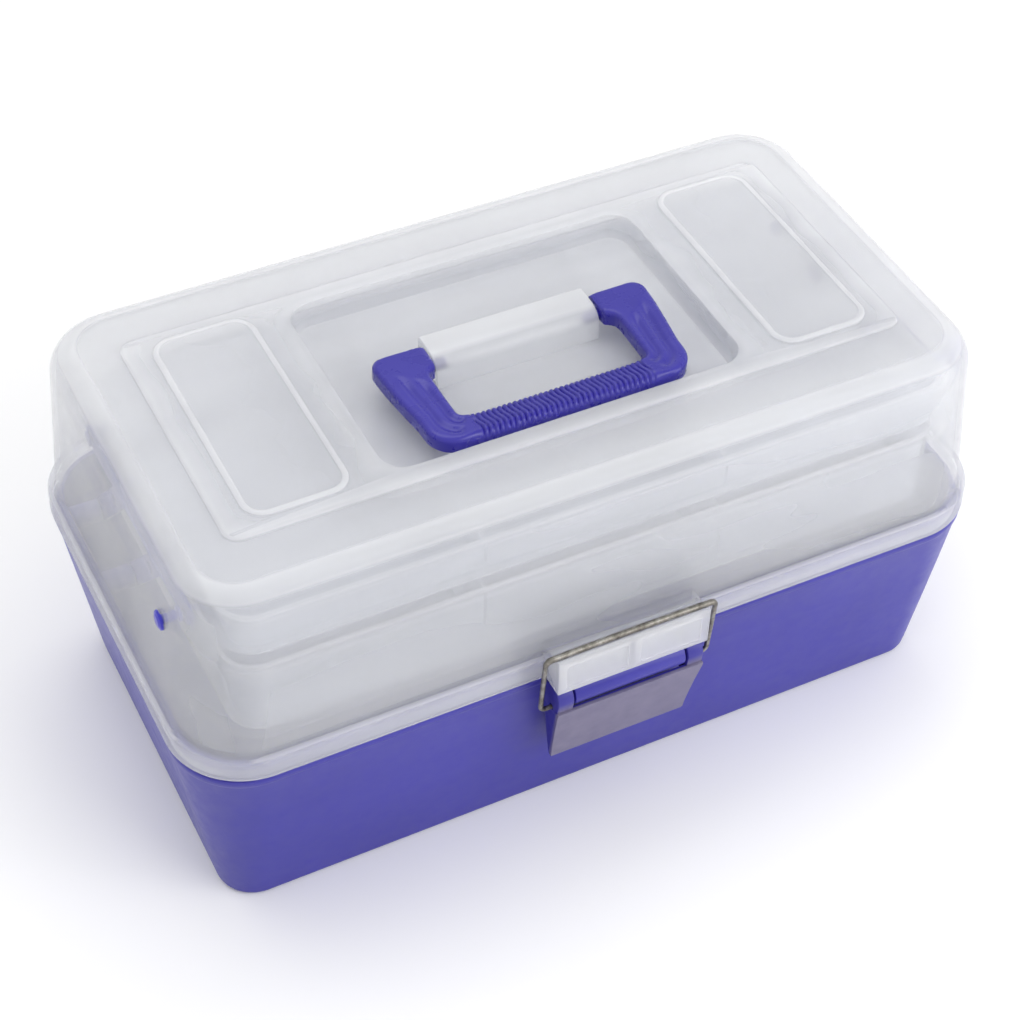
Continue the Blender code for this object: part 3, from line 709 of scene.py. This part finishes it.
def make_bail():
    """Bent wire: hooks into the lever, two legs leaning forward, and a thicker bar on the catch."""
    low = BAIL_AXIS[1]
    half_x, bar_y, bar_z, bend = 0.0347, -0.0983, 0.1005, 0.0026
    right = [(0.0268, low)]
    right += arc((half_x - bend, low + bend), bend, 270, 360, 8)
    right += arc((half_x - bend, bar_z - bend), bend, 0, 90, 8)
    right += [(0.018, bar_z + 0.0003), (0.0, bar_z + 0.0004)]
    path = right + [(-x, z) for x, z in reversed(right[:-1])]
    curve = bpy.data.curves.new("art_box_latch_bail", "CURVE")
    curve.dimensions = "3D"
    curve.bevel_depth = 0.00095                  # wire radius
    curve.bevel_resolution = 5
    curve.use_fill_caps = True
    spline = curve.splines.new("POLY")
    spline.points.add(len(path) - 1)
    lean = (bar_y - BAIL_AXIS[0]) / (bar_z - low)
    for point, (x, z) in zip(spline.points, path):
        point.co = (x, BAIL_AXIS[0] + lean * (z - low), z, 1.0)
        point.radius = 1.0 + 0.28 * clamp((z - bar_z + bend) / bend)
    source = bpy.data.objects.new("bail_path", curve)
    bpy.context.scene.collection.objects.link(source)
    bpy.context.view_layer.update()
    evaluated = source.evaluated_get(bpy.context.evaluated_depsgraph_get())
    bail = bpy.data.objects.new("art_box_latch_bail", bpy.data.meshes.new_from_object(evaluated))
    bpy.context.scene.collection.objects.link(bail)
    bpy.data.objects.remove(source)
    place(smooth(bail), "latch_bail", "steel", wire_steel, "latch_bail")


make_tub()
make_lid()
lower_pins = [arm_point(y, 0.5) for y in (FRONT_ARM_Y, REAR_ARM_Y)]
upper_pins = [arm_point(y, 1.0) for y in (FRONT_ARM_Y, REAR_ARM_Y)] + [LINK_REAR]
make_tray("lower_tray", 0.0908, 0.1255, 0.1230, lower_pins)
make_tray("upper_tray", 0.1298, 0.1500, 0.1465, upper_pins)
make_handle()
make_lever()
make_bail()

# ---- CAD pieces that keep their shape ----
for name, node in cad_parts.items():
    if node.hide_render:
        continue
    if name.startswith("hinge_pin") or name == "latch_pin":
        set_material(node, wire_steel)
    elif name.startswith("lid_pin"):
        set_material(node, pin_plastic)
    elif name.startswith(("arm_", "lid_link")) or "_pin_" in name:
        set_material(node, arm_plastic)

# ---- floor, light and camera ----
FLOOR_HALF = 6.0
floor_corners = [(x * FLOOR_HALF, y * FLOOR_HALF, 0.0) for x, y in ((-1, -1), (1, -1), (1, 1), (-1, 1))]
floor_mesh = bpy.data.meshes.new("floor")
floor_mesh.from_pydata(floor_corners, [], [(0, 1, 2, 3)])
floor = bpy.data.objects.new("floor", floor_mesh)
floor.location.z = -0.0002                       # just below the tub's underside
bpy.context.scene.collection.objects.link(floor)
floor_material, tree, shader, coords = new_material("floor_paper")
paper = ramp(tree, noise(tree, coords, 3.0, 2.0), ((0.3, (0.93, 0.93, 0.93)), (0.7, (0.95, 0.95, 0.95))))
tree.links.new(paper, shader.inputs["Base Color"])
shader.inputs["Roughness"].default_value = 0.9
shader.inputs["Specular IOR Level"].default_value = 0.1
set_material(floor, floor_material)

world = bpy.data.worlds.new("studio")
world.use_nodes = True
background = world.node_tree.nodes["Background"]
background.inputs["Color"].default_value = (1.0, 1.0, 1.0, 1.0)
background.inputs["Strength"].default_value = 0.90
bpy.context.scene.world = world


def area_light(name, place_at, aim, size, power):
    data = bpy.data.lights.new(name, "AREA")
    data.shape = "RECTANGLE"
    data.size, data.size_y = size
    data.energy = power
    lamp = bpy.data.objects.new(name, data)
    lamp.location = place_at
    direction = Vector(aim) - Vector(place_at)
    lamp.rotation_mode = "QUATERNION"
    lamp.rotation_quaternion = direction.to_track_quat("-Z", "Y")
    bpy.context.scene.collection.objects.link(lamp)


area_light("key", (0.50, -1.00, 0.95), (0.0, 0.0, 0.10), (0.8, 0.5), 4.5)
area_light("top", (-0.1, 0.5, 1.6), (0.0, 0.0, 0.1), (1.4, 0.8), 6.0)
area_light("side", (0.60, -0.55, 0.28), (0.12, -0.09, 0.05), (0.35, 0.35), 1.2)

CAMERA_PLACE = (-0.29255, -0.56148, 0.70602)
CAMERA_AZIMUTH, CAMERA_ELEVATION, CAMERA_ROLL = -27.5643, 44.9998, 1.6057
camera_data = bpy.data.cameras.new("camera")
camera_data.lens = 80.18
camera_data.sensor_width = 36.0
camera_data.clip_start = 0.01
camera = bpy.data.objects.new("camera", camera_data)
azimuth, elevation, roll = (math.radians(a) for a in (CAMERA_AZIMUTH, CAMERA_ELEVATION, CAMERA_ROLL))
flat = math.cos(elevation)
back = Vector((math.sin(azimuth) * flat, -math.cos(azimuth) * flat, math.sin(elevation)))
level = Vector((0, 0, 1)).cross(back).normalized()
upright = back.cross(level)
right = level * math.cos(roll) + upright * math.sin(roll)
above = upright * math.cos(roll) - level * math.sin(roll)
axes = Matrix((right, above, back)).transposed()
camera.matrix_world = Matrix.Translation(CAMERA_PLACE) @ axes.to_4x4()
bpy.context.scene.collection.objects.link(camera)
bpy.context.scene.camera = camera
bpy.context.scene.view_settings.view_transform = "Standard"
